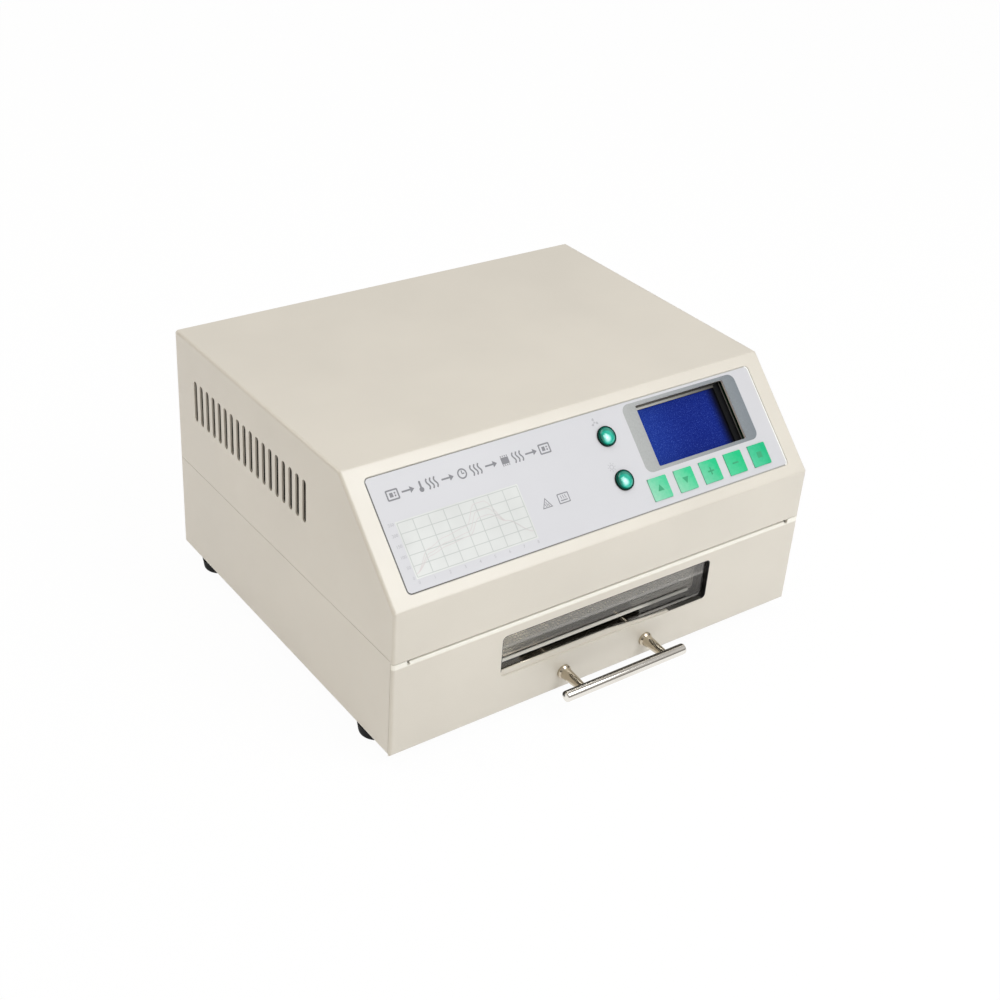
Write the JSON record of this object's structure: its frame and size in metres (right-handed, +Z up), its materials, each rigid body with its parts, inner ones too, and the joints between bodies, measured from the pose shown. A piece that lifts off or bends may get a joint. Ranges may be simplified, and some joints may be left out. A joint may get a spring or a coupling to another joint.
{
  "type": "infrared reflow oven",
  "caption": "Benchtop infrared reflow oven: sheet-steel case with a sloping control panel, graphic display, push buttons, keys, and a sliding front drawer with window and bar handle.",
  "frame": {"origin": "on the table under the middle of the overall box", "axes": "+X to the right seen from the front, +Y from the drawer to the rear panel, +Z up"},
  "size_m": [0.31, 0.2882, 0.1658],
  "materials": {
    "case_paint": "fine textured cream powder coat",
    "bright_steel": "bright zinc",
    "sheet_steel": "galvanised sheet",
    "tray_steel": "satin",
    "dark_steel": "heat darkened",
    "handle_metal": "satin",
    "foot_rubber": "matt",
    "overlay": "printed film",
    "circuit_board": "solder mask",
    "black_plastic": "matt",
    "display": "lit blue",
    "reflector": "polished",
    "fibre": "ceramic fibre",
    "quartz": "clear quartz",
    "ceramic": "unglazed",
    "lamp_glass": "clear",
    "transformer": "varnished",
    "heatsink": "anodised",
    "terminal": "matt",
    "brass": "plain",
    "rocker": "gloss",
    "window_glass": "clear, heat resistant",
    "button_lens": "domed lens",
    "key_green": "satin"
  },
  "bodies": {
    "housing": {"bottom_case": "case_paint", "top_cover": "case_paint", "rear_panel": "case_paint", "case_screws": "bright_steel", "rubber_feet": "foot_rubber", "control_overlay": "overlay", "control_board": "circuit_board", "lcd_frame": "black_plastic", "lcd_screen": "display", "board_standoffs": "bright_steel", "fan_switch_body": "black_plastic", "lamp_switch_body": "black_plastic", "chamber_shell": "sheet_steel", "reflector": "reflector", "insulation_blanket": "fibre", "support_rails": "sheet_steel", "heater_tube_1": "quartz", "heater_tube_2": "quartz", "heater_tube_3": "quartz", "heater_tube_4": "quartz", "heater_end_caps": "ceramic", "heater_brackets": "sheet_steel", "thermocouples": "bright_steel", "chamber_lamp": "lamp_glass", "lamp_holder": "ceramic", "electronics_shelf": "sheet_steel", "transformer": "transformer", "power_board": "circuit_board", "heatsink": "heatsink", "terminal_block": "terminal", "fan_frame": "black_plastic", "fan_guard": "bright_steel", "power_inlet": "black_plastic", "inlet_pins": "brass", "power_switch_body": "black_plastic", "slide_outer_left": "sheet_steel", "slide_outer_right": "sheet_steel"},
    "drawer": {"drawer_front": "case_paint", "window_glass": "window_glass", "window_frame": "dark_steel", "drawer_pan": "sheet_steel", "tray_supports": "sheet_steel", "floor_pad": "fibre", "board_tray": "tray_steel", "handle_bar": "handle_metal", "handle_posts": "handle_metal", "drawer_screws": "bright_steel", "slide_inner_left": "sheet_steel", "slide_inner_right": "sheet_steel"},
    "slide_left": {"slide_middle_left": "sheet_steel"},
    "slide_right": {"slide_middle_right": "sheet_steel"},
    "fan_rotor": {"fan_rotor": "black_plastic"},
    "power_rocker": {"power_rocker": "rocker"},
    "fan_button": {"fan_button": "button_lens"},
    "lamp_button": {"lamp_button": "button_lens"},
    "key_1": {"key_1": "key_green"},
    "key_2": {"key_2": "key_green"},
    "key_3": {"key_3": "key_green"},
    "key_4": {"key_4": "key_green"},
    "key_5": {"key_5": "key_green"}
  },
  "joints": [
    {"name": "drawer_slide", "type": "slide", "parent": "housing", "child": "drawer", "axis": [0, -1, 0], "range_m": [0, 0.2]},
    {"name": "slide_left_run", "type": "slide", "parent": "housing", "child": "slide_left", "axis": [0, -1, 0], "range_m": [0, 0.1]},
    {"name": "slide_right_run", "type": "slide", "parent": "housing", "child": "slide_right", "axis": [0, -1, 0], "range_m": [0, 0.1]},
    {"name": "fan_spin", "type": "hinge", "parent": "housing", "child": "fan_rotor", "pos_m": [-0.062, 0.1239, 0.112], "axis": [0, 1, 0], "continuous": true},
    {"name": "rocker_tip", "type": "hinge", "parent": "housing", "child": "power_rocker", "pos_m": [0.098, 0.1386, 0.072], "axis": [1, 0, 0], "range_deg": [0, 17]},
    {"name": "fan_button_push", "type": "slide", "parent": "housing", "child": "fan_button", "axis": [0, 0.703, -0.7112], "range_m": [0, 0.002], "stiffness_N_per_m": 250},
    {"name": "lamp_button_push", "type": "slide", "parent": "housing", "child": "lamp_button", "axis": [0, 0.703, -0.7112], "range_m": [0, 0.002], "stiffness_N_per_m": 250},
    {"name": "key_1_push", "type": "slide", "parent": "housing", "child": "key_1", "axis": [0, 0.703, -0.7112], "range_m": [0, 0.0005], "stiffness_N_per_m": 500},
    {"name": "key_2_push", "type": "slide", "parent": "housing", "child": "key_2", "axis": [0, 0.703, -0.7112], "range_m": [0, 0.0005], "stiffness_N_per_m": 500},
    {"name": "key_3_push", "type": "slide", "parent": "housing", "child": "key_3", "axis": [0, 0.703, -0.7112], "range_m": [0, 0.0005], "stiffness_N_per_m": 500},
    {"name": "key_4_push", "type": "slide", "parent": "housing", "child": "key_4", "axis": [0, 0.703, -0.7112], "range_m": [0, 0.0005], "stiffness_N_per_m": 500},
    {"name": "key_5_push", "type": "slide", "parent": "housing", "child": "key_5", "axis": [0, 0.703, -0.7112], "range_m": [0, 0.0005], "stiffness_N_per_m": 500}
  ],
  "couplings": [
    {"joint": "slide_left_run", "follows": "drawer_slide", "ratio": 0.5},
    {"joint": "slide_right_run", "follows": "drawer_slide", "ratio": 0.5}
  ]
}
